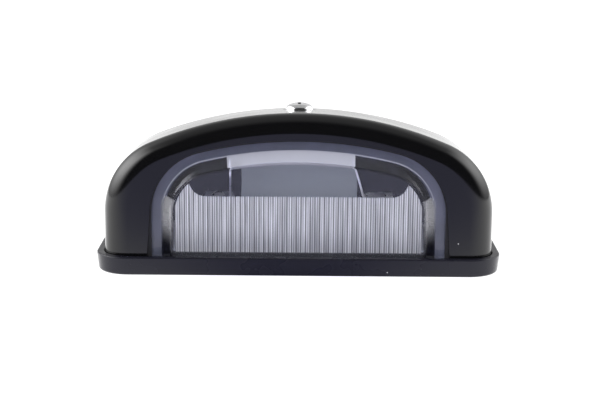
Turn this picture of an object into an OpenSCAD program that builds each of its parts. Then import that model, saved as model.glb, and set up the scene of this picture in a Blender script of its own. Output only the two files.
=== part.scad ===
// Number plate lamp: a black hood over a clear fluted lens, on a rubber tray.
// X runs to the right, Y to the back and Z up. The lens faces -Y.
// The origin is the middle of the tray's underside. All sizes are in millimetres.

/* [Hood] */
// Width of the hood across its legs
hood_w = 110.8; // [104:0.1:118]
// Depth of the hood from front to back
hood_d = 49.2; // [47:0.1:56]
// Height of the hood's front edge at the crown
hood_h = 45.6; // [43:0.1:50]
// Height where the straight legs turn into the arch
spring_z = 17; // [15:0.1:18.5]
// Radius of the arch over the crown
hood_crown_r = 107; // [95:1:130]
// Rounding of the front edge at the crown
crown_round = 5.5; // [4.5:0.1:6.5]
// Rounding inside the front edge at the crown
crown_inner_round = 1.5; // [1:0.1:2]
// Rounding of the front edge down the legs
leg_round = 7; // [5:0.1:8.5]
// Rounding of the back
back_round = 12; // [9:0.5:14]
// Fall of the top towards the back, in degrees
top_fall = 6; // [3:0.5:8]
// Wall of the hood
hood_wall = 2.4; // [1.8:0.1:2.8]

/* [Lens] */
// Width of the hood's opening
open_w = 84.2; // [78:0.1:88]
// Drop from the hood's top to the opening's top
open_drop = 6.9; // [6.4:0.1:8.5]
// Flare of the opening's legs at their foot
open_flare = 1.1; // [0:0.1:1.4]
// Crown radius of the opening and of the lens lines
lens_crown_r = 115; // [100:1:140]
// Width of the flange that shows round the raised field
flange_show = 3.1; // [2:0.1:4.5]
// Extra of that width over the crown
flange_show_top = 0.2; // [0:0.1:2]
// Part of the flange that the hood covers
flange_cover = 1.8; // [1.2:0.1:2]
// Thickness of the flange
flange_t = 2; // [1.4:0.1:2.6]
// Height of the raised field above the flange
field_rise = 2.6; // [1.8:0.1:3]
// Width of the slope round the raised field
field_slope = 3; // [2:0.1:4]
// Width of that slope over the crown
field_slope_top = 3.3; // [2.4:0.1:4]
// Thickness of the raised field
field_t = 1.6; // [1.2:0.1:2]
// Spacing of the flutes
flute_pitch = 1.32; // [1.2:0.01:1.8]
// Height of the plain window's lower edge
window_z = 22.1; // [20:0.1:24]
// Width of the plain window
window_w = 62; // [50:0.5:64]
// Radius of the window's lower corners
window_r = 4.7; // [3:0.1:6]
// Thickness of the seal between lens and hood
seal_t = 0.8; // [0.5:0.1:1.2]
// Width of the seal's edge that shows beside the lens
seal_show = 0.3; // [0:0.1:0.8]
// Width of the seal's edge that shows over the crown
seal_show_top = 0.8; // [0:0.1:1.2]

/* [Tray and base] */
// Width of the tray's lip beyond the hood
lip_w = 2.2; // [1.6:0.1:3]
// Height of the tray's lip
lip_h = 5.3; // [4.6:0.1:6.5]
// Thickness of the tray's floor
tray_floor = 1.6; // [1.2:0.1:2.2]
// Draft of the tray's outer wall, in degrees
tray_draft = 5; // [1:0.5:8]
// Gap between the hood and the tray's lip
tray_gap = 0.4; // [0.2:0.05:0.6]
// Thickness of the base plate
plate_t = 2.4; // [1.8:0.1:3]
// Play between the base plate and the hood
plate_play = 0.3; // [0.15:0.05:0.5]

/* [Fixing] */
// Distance between the two fixing holes
fixing_span = 80; // [70:0.5:84]
// Place of the fixing holes behind the middle
fixing_y = 7; // [2:0.5:10]
// Bore of the fixing sleeves, for M5 screws
fixing_bore = 5.4; // [4.4:0.1:6]
// Wall of the fixing sleeves
sleeve_wall = 1.1; // [0.8:0.1:1.6]
// Height of the fixing sleeves above the tray's underside
sleeve_h = 7; // [5.5:0.1:9]
// Thread of the hood's screw
screw_d = 4; // [3:0.5:4]
// Diameter of the screw's head
screw_head_d = 8.1; // [7:0.1:9]
// Height of the screw's head
screw_head_h = 2; // [1.6:0.1:3]
// Length of the screw below its head
screw_len = 12; // [10:0.5:14]
// Place of the screw behind the middle
screw_y = 2; // [1:0.5:4]
// Diameter of the pillar that takes the screw
pillar_d = 8; // [7:0.1:9]
// Diameter of the pillar's threaded insert
insert_d = 5.8; // [5:0.1:6.2]
// Length of the pillar's threaded insert
insert_len = 8; // [6:0.5:10]
// Thickness of the rubber washer on the pillar
washer_t = 1.2; // [0.8:0.1:1.6]
// Bore of the cable grommet
cable_bore = 6; // [4:0.1:7]
// Place of the cable grommet behind the middle
cable_y = 15; // [14:0.5:16]

/* [Bulb and contacts] */
// Length of the festoon bulb over its caps
bulb_len = 36; // [34:0.5:40]
// Diameter of the bulb's glass
bulb_d = 10.5; // [8:0.1:11]
// Diameter of the bulb's caps
cap_d = 8.5; // [7:0.1:9]
// Length of each cap without its tip
cap_len = 5.5; // [4:0.1:7]
// Height of the bulb's axis
bulb_z = 13.5; // [12:0.1:14.5]
// Place of the bulb's axis in front of the middle
bulb_y = -12.5; // [-13:0.1:-12]
// Thickness of the contact strips
strip_t = 0.5; // [0.4:0.05:0.8]
// Width of the contact strips
strip_w = 8; // [7:0.1:9]
// Height of the two contact towers
tower_h = 20; // [19:0.1:21]
// Drop from the hood's top to the contact strips' tips
tip_drop = 14; // [13:0.1:16]
// Inward jog of the right strip's tongue over its tower
tip_jog = 1.2; // [0:0.1:1.6]
// Inward lean of the right strip's tip
tip_lean = 4.2; // [2:0.1:4.5]

/* [Reflector] */
// Width of the reflector
reflector_w = 34; // [30:0.1:35]
// Thickness of the reflector's sheet
reflector_t = 0.5; // [0.4:0.05:0.8]
// Radius of the reflector's trough
reflector_r = 38; // [34:0.5:48]
// Height of the trough's middle
reflector_z = 23; // [21:0.5:25]
// Drop from the hood's top to the reflector's top edge
reflector_drop = 11.2; // [9.5:0.1:14]
// Place of the trough's deepest line in front of the middle
reflector_y = -3; // [-3.4:0.1:-2.6]
// Width of the ear at the reflector's upper left corner
ear_w = 3.2; // [1:0.1:4]
// Height of that ear
ear_h = 6.8; // [4:0.1:8]

/* [Hidden] */
$fn = 48;

// A small overlap that keeps cuts and joins clean
eps = 0.01;
// Length of a cutter that has to pass right through
far = 200;

// Faces of the hood, the lens and the base
front_y = -hood_d / 2;
back_y = hood_d / 2;
plate_top = tray_floor + plate_t;
seal_y = front_y + hood_wall;
flange_y = seal_y + seal_t;
flange_back = flange_y + flange_t;
field_y = flange_y - field_rise;
field_back = field_y + field_t;

// Half-widths and tops of the lens lines, from the opening inwards
open_hw = open_w / 2;
open_h = hood_h - open_drop;
root_hw = open_hw - flange_show;
root_top = open_h - flange_show - flange_show_top;
field_hw = root_hw - field_slope;
field_top = root_top - field_slope_top;
cover_hw = open_hw + flange_cover;
cover_top = open_h + flange_cover;

// Steps of the lofts
shoulder_steps = 12;
crown_steps = 20;
front_steps = 10;
back_steps = 9;

// Radius of an arch's shoulders: the small circle that meets both the straight
// leg at half-width hw and the crown circle of radius r through the top
function shoulder_r(hw, top, r) =
    let (h = top - spring_z)
    (2 * r * h - h * h - hw * hw) / (2 * (r - hw));

// Half angle of the crown circle's part of the arch
function crown_angle(hw, top, r) =
    let (s = shoulder_r(hw, top, r))
    atan2(hw - s, r - (top - spring_z));

// Three-centred arch as a line of [x, z] points, from the left foot to the right
function arch_line(hw, top, r, foot) =
    let (
        s = shoulder_r(hw, top, r),
        b = crown_angle(hw, top, r)
    )
    concat(
        [[-hw, foot]],
        [for (i = [0 : shoulder_steps])
            let (a = 180 - (90 - b) * i / shoulder_steps)
            [-(hw - s) + s * cos(a), spring_z + s * sin(a)]],
        [for (i = [1 : crown_steps - 1])
            let (a = 90 + b - 2 * b * i / crown_steps)
            [r * cos(a), top - r + r * sin(a)]],
        [for (i = [0 : shoulder_steps])
            let (a = 90 - b - (90 - b) * i / shoulder_steps)
            [hw - s + s * cos(a), spring_z + s * sin(a)]],
        [[hw, foot]]
    );

// The area under an arch, drawn with x and y
module arch_shape(hw, top, r, foot) {
    polygon(arch_line(hw, top, r, foot));
}

// An arch line placed at depth y, with its rise above the springing scaled
function arch_ring(line, y, rise) =
    [for (p = line)
        [p[0], y, p[1] > spring_z ? spring_z + (p[1] - spring_z) * rise : p[1]]];

// Solid between two stacks of rings with equal counts. Each ring is an open line
// that stands on the foot. Each end is either a flat wall with its own two faces,
// or a strip between the stacks' last rings.
module ring_shell(outer, inner, walled_front, walled_back) {
    rings = len(outer);
    n = len(outer[0]);
    points = concat(
        [for (ring = outer) each ring],
        [for (ring = inner) each ring]
    );
    shift = rings * n;
    last = (rings - 1) * n;
    skins = [for (i = [0 : rings - 2]) for (j = [0 : n - 2])
        let (a = i * n + j)
        each [[a, a + n, a + n + 1, a + 1],
            [shift + a, shift + a + 1, shift + a + n + 1, shift + a + n]]];
    feet = [for (i = [0 : rings - 2])
        let (a = i * n, b = i * n + n - 1)
        each [[a, shift + a, shift + a + n, a + n],
            [b, b + n, shift + b + n, shift + b]]];
    front_wall = [
        [for (j = [0 : n - 1]) j],
        [for (j = [n - 1 : -1 : 0]) shift + j],
        [0, n - 1, shift + n - 1, shift]
    ];
    front_strip = [for (j = [0 : n - 2]) [j, j + 1, shift + j + 1, shift + j]];
    back_wall = [
        [for (j = [n - 1 : -1 : 0]) last + j],
        [for (j = [0 : n - 1]) shift + last + j],
        [last, shift + last, shift + last + n - 1, last + n - 1]
    ];
    back_strip = [for (j = [0 : n - 2])
        [last + j, shift + last + j, shift + last + j + 1, last + j + 1]];
    polyhedron(points, concat(
        skins, feet,
        walled_front ? front_wall : front_strip,
        walled_back ? back_wall : back_strip
    ));
}

// An arch line whose two feet stand apart by a flare at each side
function flared(line, flare) =
    concat(
        [line[0] - [flare, 0]],
        [for (i = [1 : len(line) - 2]) line[i]],
        [line[len(line) - 1] + [flare, 0]]
    );

// A plain line of the lens family at depth y
function lens_ring(hw, top, y) =
    arch_ring(arch_line(hw, top, lens_crown_r, plate_top), y, 1);

// Height scale of the hood's arch at depth y, from the fall of its top
function fall_rise(y) =
    1 - tan(top_fall) * max(0, y - front_y - crown_round) / (hood_h - spring_z);

// Height of the hood's crown at depth y
function crown_z(y) = spring_z + (hood_h - spring_z) * fall_rise(y);

// Rings of the hood's skin, t inside its outer face, from the opening's edge back.
// crown is the rounding of the front edge at the crown.
function hood_rings(t, crown) =
    let (
        hw = hood_w / 2 - t,
        top = hood_h - t,
        r = hood_crown_r - t,
        leg = leg_round - t,
        back = back_round - t
    )
    concat(
        [arch_ring(
            flared(arch_line(open_hw, open_h, lens_crown_r, tray_floor), open_flare),
            front_y + t, 1
        )],
        [for (i = [0 : front_steps])
            let (
                a = 90 * i / front_steps,
                y = front_y + t + crown * (1 - cos(a)),
                cut = 1 - sin(a)
            )
            arch_ring(arch_line(hw - leg * cut, top - crown * cut, r - crown * cut, tray_floor),
                y, fall_rise(y))],
        [for (i = [0 : back_steps])
            let (
                a = 90 * i / back_steps,
                y = back_y - t - back * (1 - sin(a)),
                cut = 1 - cos(a)
            )
            arch_ring(arch_line(hw - back * cut, top - back * cut, r - back * cut, tray_floor),
                y, fall_rise(y))]
    );

// Plan outline with its own radius at the front and back corners
module plan_shape(hw, y0, y1, r_front, r_back) {
    for (side = [-1, 1]) {
        translate([side * (hw - r_front), y0 + r_front])
            circle(r = r_front);
        translate([side * (hw - r_back), y1 - r_back])
            circle(r = r_back);
    }
    translate([-(hw - r_front), y0])
        square([2 * (hw - r_front), r_front + eps]);
    translate([-(hw - r_back), y1 - r_back - eps])
        square([2 * (hw - r_back), r_back + eps]);
    translate([-hw, y0 + r_front])
        square([2 * hw, y1 - y0 - r_front - r_back]);
}

// Seats of the parts on the pillar, from the hood's spot face down
boss_drop = 1.2;
spot_margin = 0.6;
screw_play = 0.25;
screw_seat = crown_z(screw_y);
boss_z = screw_seat - hood_wall - boss_drop;
pillar_top = boss_z - washer_t;

// Tray
tray_hw = hood_w / 2 + tray_gap + lip_w;
tray_y0 = front_y - tray_gap - lip_w;
tray_y1 = back_y + tray_gap + lip_w;
lip_round = 0.4;
sole_round = 0.8;
sleeve_d = fixing_bore + 2 * sleeve_wall;
grommet_wall = 2;
grommet_lip = 1.5;
grommet_lip_h = 1.6;
grommet_d = cable_bore + 2 * grommet_wall;

// Outer form of the tray: a drafted wall with eased edges
module tray_block() {
    drop = tan(tray_draft) * lip_h;
    levels = [
        [0, drop + sole_round], [sole_round, drop], [lip_h - lip_round, 0], [lip_h, lip_round]
    ];
    for (i = [0 : len(levels) - 2])
        hull()
            for (level = [levels[i], levels[i + 1]])
                translate([0, 0, level[0] - (level == levels[i + 1] ? eps : 0)])
                    linear_extrude(eps)
                        plan_shape(
                            tray_hw - level[1], tray_y0 + level[1], tray_y1 - level[1],
                            leg_round + tray_gap + lip_w - level[1],
                            back_round + tray_gap + lip_w - level[1]
                        );
}

module base_tray() {
    color([0.14, 0.14, 0.16])
    difference() {
        tray_block();
        translate([0, 0, tray_floor])
            linear_extrude(lip_h)
                plan_shape(
                    hood_w / 2 + tray_gap, front_y - tray_gap, back_y + tray_gap,
                    leg_round + tray_gap, back_round + tray_gap
                );
        for (side = [-1, 1])
            translate([side * fixing_span / 2, fixing_y, -eps])
                cylinder(d = sleeve_d, h = tray_floor + 2 * eps);
        translate([0, cable_y, -eps])
            cylinder(d = grommet_d, h = tray_floor + 2 * eps);
    }
}

// Contact towers on the base plate, set off from the bulb's ends
tower_w = 6.6;
tower_margin = 0.5;
tower_off = 1.9;
tower_d = strip_w + 2 * tower_margin;
tower_x = bulb_len / 2 + tower_off;
tower_mid = tower_x + tower_w / 2;
tower_out = tower_x + tower_w;

// Contact feet, rivets and terminal blades
foot_len = 7;
foot_x = tower_out + strip_t + foot_len / 2;
rivet_d = 2.4;
rivet_head_d = 4;
rivet_head_h = 0.8;
rivet_depth = 6;
terminal_t = 0.8;
terminal_w = 6.3;
terminal_len = 24;
terminal_taper = 1.2;
terminal_hole = 1.6;
terminal_play = 0.3;

// Rib behind the lens, tongue below it, bosses round the sleeves, fins of the pillar
rib_t = 1;
rib_h = 2;
tongue_lap = 1;
boss_wall = 2;
boss_gap = 0.3;
fin_t = 1.6;
fin_reach = 2.4;
fin_share = 0.6;
insert_play = 0.2;

// Screws of the reflector
reflector_screw_x = 11;
reflector_screw_d = 2.4;
reflector_screw_depth = 2;
reflector_hole_play = 0.1;

module base_plate() {
    hw = hood_w / 2 - hood_wall - plate_play;
    y0 = seal_y + plate_play;
    y1 = back_y - hood_wall - plate_play;
    fin_h = (pillar_top - tray_floor) * fin_share;
    tongue_hw = open_hw + 0.8 * open_flare - plate_play;
    color([0.80, 0.80, 0.78])
    difference() {
        union() {
            translate([0, 0, tray_floor])
                linear_extrude(plate_t) {
                    plan_shape(hw, y0, y1,
                        max(1, leg_round - hood_wall - plate_play),
                        max(1, back_round - hood_wall - plate_play));
                    translate([-tongue_hw, front_y + plate_play])
                        square([2 * tongue_hw, hood_wall + tongue_lap]);
                }
            // Rib behind the lens flange
            translate([-cover_hw, flange_back, tray_floor])
                cube([2 * cover_hw, rib_t, plate_t + rib_h]);
            // Towers for the contacts
            for (side = [-1, 1])
                translate([side * tower_mid - tower_w / 2, bulb_y - tower_d / 2, tray_floor])
                    cube([tower_w, tower_d, tower_h - tray_floor]);
            // Bosses round the fixing sleeves
            for (side = [-1, 1])
                translate([side * fixing_span / 2, fixing_y, tray_floor])
                    cylinder(d = sleeve_d + 2 * boss_wall, h = sleeve_h - tray_floor - boss_gap);
            // Pillar for the hood's screw, with three fins
            translate([0, screw_y, tray_floor])
                cylinder(d = pillar_d, h = pillar_top - tray_floor);
            for (a = [0, 90, 180])
                translate([0, screw_y, tray_floor])
                    rotate(a)
                        translate([0, -fin_t / 2, 0])
                            cube([pillar_d / 2 + fin_reach, fin_t, fin_h]);
        }
        for (side = [-1, 1])
            translate([side * fixing_span / 2, fixing_y, 0])
                cylinder(d = sleeve_d, h = sleeve_h + 1);
        translate([0, screw_y, pillar_top - insert_len])
            cylinder(d = insert_d, h = insert_len + 1);
        translate([0, screw_y, pillar_top - screw_len])
            cylinder(d = screw_d + 2 * insert_play, h = screw_len);
        translate([0, cable_y, 0])
            cylinder(d = grommet_d, h = plate_top + 1);
        // Clearance beside the terminal blades, which run back past the bosses
        for (side = [-1, 1])
            translate([
                side * foot_x - terminal_w / 2 - terminal_play, bulb_y - terminal_w / 2, foot_z
            ])
                cube([terminal_w + 2 * terminal_play, terminal_len + terminal_play, sleeve_h]);
        // Holes for the rivets and for the reflector's screws
        for (side = [-1, 1]) {
            translate([side * tower_mid, bulb_y, tower_h - rivet_depth])
                cylinder(d = rivet_d, h = rivet_depth + 1);
            translate([side * foot_x, bulb_y, 0])
                cylinder(d = rivet_d, h = plate_top + 1);
            translate([side * reflector_screw_x, reflector_screw_y, plate_top - reflector_screw_depth])
                cylinder(d = reflector_screw_d, h = reflector_screw_depth + 1);
        }
    }
}

module fixing_sleeves() {
    color([0.78, 0.78, 0.80])
    for (side = [-1, 1])
        translate([side * fixing_span / 2, fixing_y, 0])
            difference() {
                cylinder(d = sleeve_d, h = sleeve_h);
                translate([0, 0, -eps])
                    cylinder(d = fixing_bore, h = sleeve_h + 2 * eps);
            }
}

module pillar_insert() {
    color([0.80, 0.64, 0.30])
    translate([0, screw_y, pillar_top - insert_len])
        difference() {
            cylinder(d = insert_d, h = insert_len);
            translate([0, 0, -eps])
                cylinder(d = screw_d, h = insert_len + 2 * eps);
        }
}

module cable_grommet() {
    top = plate_top + grommet_lip_h;
    color([0.08, 0.08, 0.09])
    translate([0, cable_y, 0])
        difference() {
            union() {
                cylinder(d = grommet_d, h = top);
                translate([0, 0, plate_top])
                    cylinder(
                        d1 = grommet_d + 2 * grommet_lip, d2 = grommet_d + grommet_lip, h = grommet_lip_h
                    );
            }
            translate([0, 0, -eps])
                cylinder(d = cable_bore, h = top + 2 * eps);
        }
}

// Point beside a bent line at its vertex i, d to its left, on the mitre of the bend
function beside(line, i, d) =
    let (
        last = len(line) - 1,
        a = line[max(1, i)] - line[max(0, i - 1)],
        b = line[min(last, i + 1)] - line[min(last - 1, i)],
        before = [-a[1], a[0]] / norm(a),
        after = [-b[1], b[0]] / norm(b),
        mitre = (before + after) / norm(before + after)
    )
    line[i] + mitre * d / (mitre * before);

// A bent strip of thickness t and width w: the line's points are [x, z]
module strip(line, t, w) {
    translate([0, w / 2, 0])
        rotate([90, 0, 0])
            linear_extrude(w)
                polygon(concat(
                    [for (i = [0 : len(line) - 1]) beside(line, i, t / 2)],
                    [for (i = [len(line) - 1 : -1 : 0]) beside(line, i, -t / 2)]
                ));
}

// Lines of the contact strips: the grip holds the bulb's cap round its tip
grip_back = 0.8;
grip_rise = 2;
grip_drop = 4.5;
grip_hole_share = 0.45;
tip_z = hood_h - tip_drop;
grip_x = bulb_len / 2 - grip_back;
tab_z = tower_h + strip_t / 2;
foot_z = plate_top + strip_t / 2;
tail_x = tower_out + strip_t / 2;

jog_rise = 0.6;

// One contact: tab on its tower, tail down to the base, a leg that grips the
// bulb and a tongue that stands up beside the reflector. Made for the right side.
module contact(jog, lean) {
    shoulder = tower_x - strip_t / 2;
    color([0.80, 0.80, 0.82])
    translate([0, bulb_y, 0])
        difference() {
            union() {
                strip([
                    [grip_x, bulb_z - grip_drop], [grip_x, bulb_z + grip_rise], [shoulder, tab_z],
                    [tail_x, tab_z], [tail_x, foot_z], [tail_x + foot_len, foot_z]
                ], strip_t, strip_w);
                translate([0, -strip_w / 4, 0])
                    strip([
                        [shoulder, tab_z], [shoulder - jog, tab_z + jog_rise], [shoulder - lean, tip_z]
                    ], strip_t, strip_w / 2);
            }
            translate([grip_x, 0, bulb_z])
                rotate([0, 90, 0])
                    cylinder(d = cap_d * grip_hole_share, h = 4 * strip_t, center = true);
            for (place = [[tower_mid, tab_z], [foot_x, foot_z]])
                translate([place[0], 0, place[1]])
                    cylinder(d = rivet_d, h = 4 * strip_t, center = true);
        }
}

module contact_right() {
    contact(tip_jog, tip_lean);
}

module contact_left() {
    mirror([1, 0, 0])
        contact(0, 0);
}

// Rivet with its head's underside at z
module rivet(z, depth) {
    translate([0, 0, z - depth])
        cylinder(d = rivet_d, h = depth + eps);
    translate([0, 0, z])
        cylinder(d1 = rivet_head_d, d2 = rivet_head_d * 0.6, h = rivet_head_h);
}

module contact_rivets() {
    color([0.85, 0.84, 0.82])
    for (side = [-1, 1])
        translate([side * tower_mid, bulb_y, 0])
            rivet(tab_z + strip_t / 2, strip_t + rivet_depth);
}

// Terminal blade: lies on the contact's foot and runs back along the base
module terminal() {
    half = terminal_w / 2;
    tip = half - terminal_taper;
    straight = terminal_len - half;
    color([0.82, 0.68, 0.36])
    translate([foot_x, bulb_y - half, foot_z + strip_t / 2])
        difference() {
            linear_extrude(terminal_t)
                polygon([
                    [-half, 0], [half, 0], [half, straight],
                    [tip, terminal_len], [-tip, terminal_len], [-half, straight]
                ]);
            translate([0, half, -1])
                cylinder(d = rivet_d, h = terminal_t + 2);
            translate([0, straight, -1])
                cylinder(d = terminal_hole, h = terminal_t + 2);
        }
}

module terminal_right() {
    terminal();
}

module terminal_left() {
    mirror([1, 0, 0])
        terminal();
}

module terminal_rivets() {
    color([0.85, 0.84, 0.82])
    for (side = [-1, 1])
        translate([side * foot_x, bulb_y, 0])
            rivet(foot_z + strip_t / 2 + terminal_t, terminal_t + strip_t + plate_t);
}

// Reflector: a trough of sheet, with a foot that is screwed to the base plate
reflector_foot = 9;
reflector_top = hood_h - reflector_drop;
reflector_centre = reflector_y - reflector_r;

function trough_y(z) =
    reflector_centre + sqrt(pow(reflector_r, 2) - pow(z - reflector_z, 2));

reflector_low_y = trough_y(plate_top + reflector_t);
reflector_screw_y = reflector_low_y - reflector_foot / 2;

// Strip of the trough from side to side and from its lower to its upper edge
module trough(x0, x1, z0, z1) {
    translate([x0, 0, 0])
        rotate([90, 0, 90])
            linear_extrude(x1 - x0)
                intersection() {
                    difference() {
                        translate([reflector_centre, reflector_z])
                            circle(r = reflector_r + reflector_t, $fn = 180);
                        translate([reflector_centre, reflector_z])
                            circle(r = reflector_r, $fn = 180);
                    }
                    translate([reflector_centre, z0])
                        square([2 * reflector_r, z1 - z0]);
                }
}

module reflector() {
    half = reflector_w / 2;
    color([0.82, 0.82, 0.86])
    difference() {
        union() {
            trough(-half, half, plate_top, reflector_top);
            // Ear that reaches behind the left contact's tongue
            trough(-half - ear_w, -half + 1, reflector_top - ear_h, reflector_top);
            translate([-reflector_w / 2, reflector_low_y - reflector_foot, plate_top])
                cube([reflector_w, reflector_foot + reflector_t / 2, reflector_t]);
        }
        for (side = [-1, 1])
            translate([side * reflector_screw_x, reflector_screw_y, plate_top - 1])
                cylinder(d = reflector_screw_d + 2 * reflector_hole_play, h = reflector_t + 2);
    }
}

module reflector_screws() {
    head_d = 4.6;
    head_top_d = 3.6;
    head_h = 1.3;
    slot_w = 0.7;
    slot_depth = 0.5;
    color([0.72, 0.72, 0.74])
    for (side = [-1, 1])
        translate([side * reflector_screw_x, reflector_screw_y, plate_top + reflector_t])
            difference() {
                union() {
                    translate([0, 0, -reflector_t - reflector_screw_depth])
                        cylinder(d = reflector_screw_d, h = reflector_t + reflector_screw_depth + eps);
                    cylinder(d1 = head_d, d2 = head_top_d, h = head_h);
                }
                translate([-slot_w / 2, -head_d, head_h - slot_depth])
                    cube([slot_w, 2 * head_d, head_h]);
            }
}

// Bulb: the caps sit on the necks of the glass, a hair clear of its shoulders
cap_wall = 0.6;
cap_tip = 1.3;
cap_tip_r = 1;
cap_clear = 0.2;
neck_len = 2;
neck_r = cap_d / 2 - cap_wall;
glass_half = bulb_len / 2 - cap_len - cap_tip - cap_clear;
glass_t = 0.7;
glass_blend = 3;
bow_steps = 6;

// Outline of one side of the glass, t inside its outer face, from end to end
function glass_line(t) =
    let (
        r = bulb_d / 2 - t,
        neck = neck_r - t,
        bow = [for (i = [0 : bow_steps])
            let (a = 90 * i / bow_steps)
            [neck + (r - neck) * sin(a), glass_half - glass_blend * (1 - cos(a))]],
        half = concat([[neck, glass_half + neck_len]], bow)
    )
    concat(half, [for (i = [len(half) - 1 : -1 : 0]) [half[i][0], -half[i][1]]]);

module bulb_glass() {
    inside = glass_line(glass_t);
    color([0.85, 0.90, 0.95, 0.5])
    translate([0, bulb_y, bulb_z])
        rotate([0, 90, 0])
            rotate_extrude($fn = 64)
                polygon(concat(
                    glass_line(0),
                    [for (i = [len(inside) - 1 : -1 : 0]) inside[i]]
                ));
}

// Cap of the bulb: a cup over the glass's neck with a pointed end
module bulb_cap() {
    color([0.80, 0.79, 0.76])
    translate([glass_half + cap_clear, bulb_y, bulb_z])
        rotate([0, 90, 0])
            rotate_extrude($fn = 64)
                difference() {
                    polygon([
                        [0, 0], [cap_d / 2, 0], [cap_d / 2, cap_len - cap_wall],
                        [cap_d / 2 - cap_wall, cap_len], [cap_tip_r * 1.5, cap_len],
                        [cap_tip_r, cap_len + cap_tip], [0, cap_len + cap_tip]
                    ]);
                    translate([0, -1])
                        square([neck_r, neck_len - cap_clear + 1]);
                }
}

module bulb_cap_right() {
    bulb_cap();
}

module bulb_cap_left() {
    mirror([1, 0, 0])
        bulb_cap();
}

// Filament: a fine coil drawn as a rod, on two leads that end at the caps
module bulb_filament() {
    coil_half = 4;
    coil_d = 1;
    lead_d = 0.5;
    lead_end = glass_half + neck_len;
    color([0.55, 0.55, 0.58])
    translate([0, bulb_y, bulb_z])
        rotate([0, 90, 0]) {
            cylinder(d = coil_d, h = 2 * coil_half, center = true);
            for (side = [-1, 1])
                translate([0, 0, side * (coil_half + lead_end) / 2])
                    cylinder(d = lead_d, h = lead_end - coil_half, center = true);
        }
}

// Rings of the lens: the raised field, the slope round it and the flange
field_edge = 0.6;
lens_outer = [
    lens_ring(field_hw, field_top, field_y),
    lens_ring(field_hw + field_edge, field_top + field_edge, field_y + field_edge / 2),
    lens_ring(root_hw, root_top, flange_y),
    lens_ring(cover_hw, cover_top, flange_y),
    lens_ring(cover_hw, cover_top, flange_back)
];
lens_inner = [
    lens_ring(field_hw - field_t / 2, field_top - field_t / 2, field_back),
    lens_ring(field_hw - field_t / 4, field_top - field_t / 4, field_back + field_edge / 4),
    lens_ring(root_hw - field_t / 2, root_top - field_t / 2, flange_y + field_t / 2),
    lens_ring(root_hw - field_t / 2, root_top - field_t / 2, flange_y + field_t * 0.6),
    lens_ring(root_hw - field_t / 2, root_top - field_t / 2, flange_back)
];

// Upright flutes: half rounds side by side on the inner face of the field, each a
// little wider than the pitch, sunk into the field by a hair, clear of its edge
flute_bulge = 1.06;
flute_sink = 0.05;
flute_margin = 0.9;

// Where the flutes run: under the plain window, up to the field's edge
module flute_zone() {
    difference() {
        arch_shape(field_hw - flute_margin, field_top - flute_margin, lens_crown_r, plate_top);
        translate([-window_w / 2, window_z + window_r])
            square([window_w, far]);
        translate([-window_w / 2 + window_r, window_z])
            square([window_w - 2 * window_r, far]);
        for (side = [-1, 1])
            translate([side * (window_w / 2 - window_r), window_z + window_r])
                circle(r = window_r);
    }
}

module flutes() {
    count = floor(2 * (field_hw - flute_margin) / flute_pitch);
    height = field_top - plate_top;
    intersection() {
        translate([0, 0, plate_top])
            linear_extrude(height)
                intersection() {
                    for (i = [0 : count - 1])
                        translate([(i - (count - 1) / 2) * flute_pitch, field_back])
                            circle(d = flute_pitch * flute_bulge, $fn = 24);
                    translate([-field_hw, field_back - flute_sink])
                        square([2 * field_hw, flute_pitch]);
                }
        translate([0, field_back + flute_pitch, 0])
            rotate([90, 0, 0])
                linear_extrude(flute_pitch * 2)
                    flute_zone();
    }
}

module lens() {
    color([0.80, 0.84, 0.90, 0.5]) {
        ring_shell(lens_outer, lens_inner, true, false);
        flutes();
    }
}

module lens_seal() {
    color([0.06, 0.06, 0.07])
    ring_shell(
        [for (y = [seal_y, flange_y]) lens_ring(cover_hw, cover_top, y)],
        [for (y = [seal_y, flange_y]) lens_ring(open_hw - seal_show, open_h - seal_show_top, y)],
        false, false
    );
}

module hood() {
    pad_d = screw_head_d + 2 * spot_margin;
    color([0.13, 0.13, 0.15])
    difference() {
        union() {
            ring_shell(hood_rings(0, crown_round), hood_rings(hood_wall, crown_inner_round), false, true);
            translate([0, screw_y, boss_z])
                cylinder(d = pad_d, h = screw_seat - boss_z);
        }
        translate([0, screw_y, screw_seat])
            cylinder(d = pad_d, h = screw_head_h);
        translate([0, screw_y, boss_z - 1])
            cylinder(d = screw_d + 2 * screw_play, h = screw_seat - boss_z + 2);
    }
}

// Domed head with a cross recess
module hood_screw() {
    head_r = screw_head_d / 2;
    rim_h = 0.35;
    edge = 0.15;
    dome_steps = 12;
    recess_len = 4.4;
    recess_w = 0.9;
    recess_depth = 1.3;
    color([0.84, 0.85, 0.86])
    translate([0, screw_y, screw_seat])
        difference() {
            union() {
                rotate_extrude()
                    polygon(concat(
                        [[0, 0], [head_r - edge, 0], [head_r, edge]],
                        [for (i = [0 : dome_steps - 1])
                            let (a = 90 * i / dome_steps)
                            [head_r * pow(cos(a), 0.8), rim_h + (screw_head_h - rim_h) * sin(a)]],
                        [[0, screw_head_h]]
                    ));
                translate([0, 0, -screw_len])
                    cylinder(d = screw_d, h = screw_len + eps);
            }
            for (a = [0, 90])
                rotate(a)
                    translate([-recess_len / 2, -recess_w / 2, screw_head_h - recess_depth])
                        cube([recess_len, recess_w, recess_depth + 1]);
        }
}

module pillar_washer() {
    color([0.07, 0.07, 0.08])
    translate([0, screw_y, pillar_top])
        difference() {
            cylinder(d = pillar_d, h = washer_t);
            translate([0, 0, -eps])
                cylinder(d = screw_d, h = washer_t + 2 * eps);
        }
}

base_tray();
base_plate();
fixing_sleeves();
pillar_insert();
cable_grommet();
contact_left();
contact_right();
contact_rivets();
terminal_left();
terminal_right();
terminal_rivets();
reflector();
reflector_screws();
bulb_glass();
bulb_cap_left();
bulb_cap_right();
bulb_filament();
lens();
lens_seal();
hood();
hood_screw();
pillar_washer();
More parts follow.
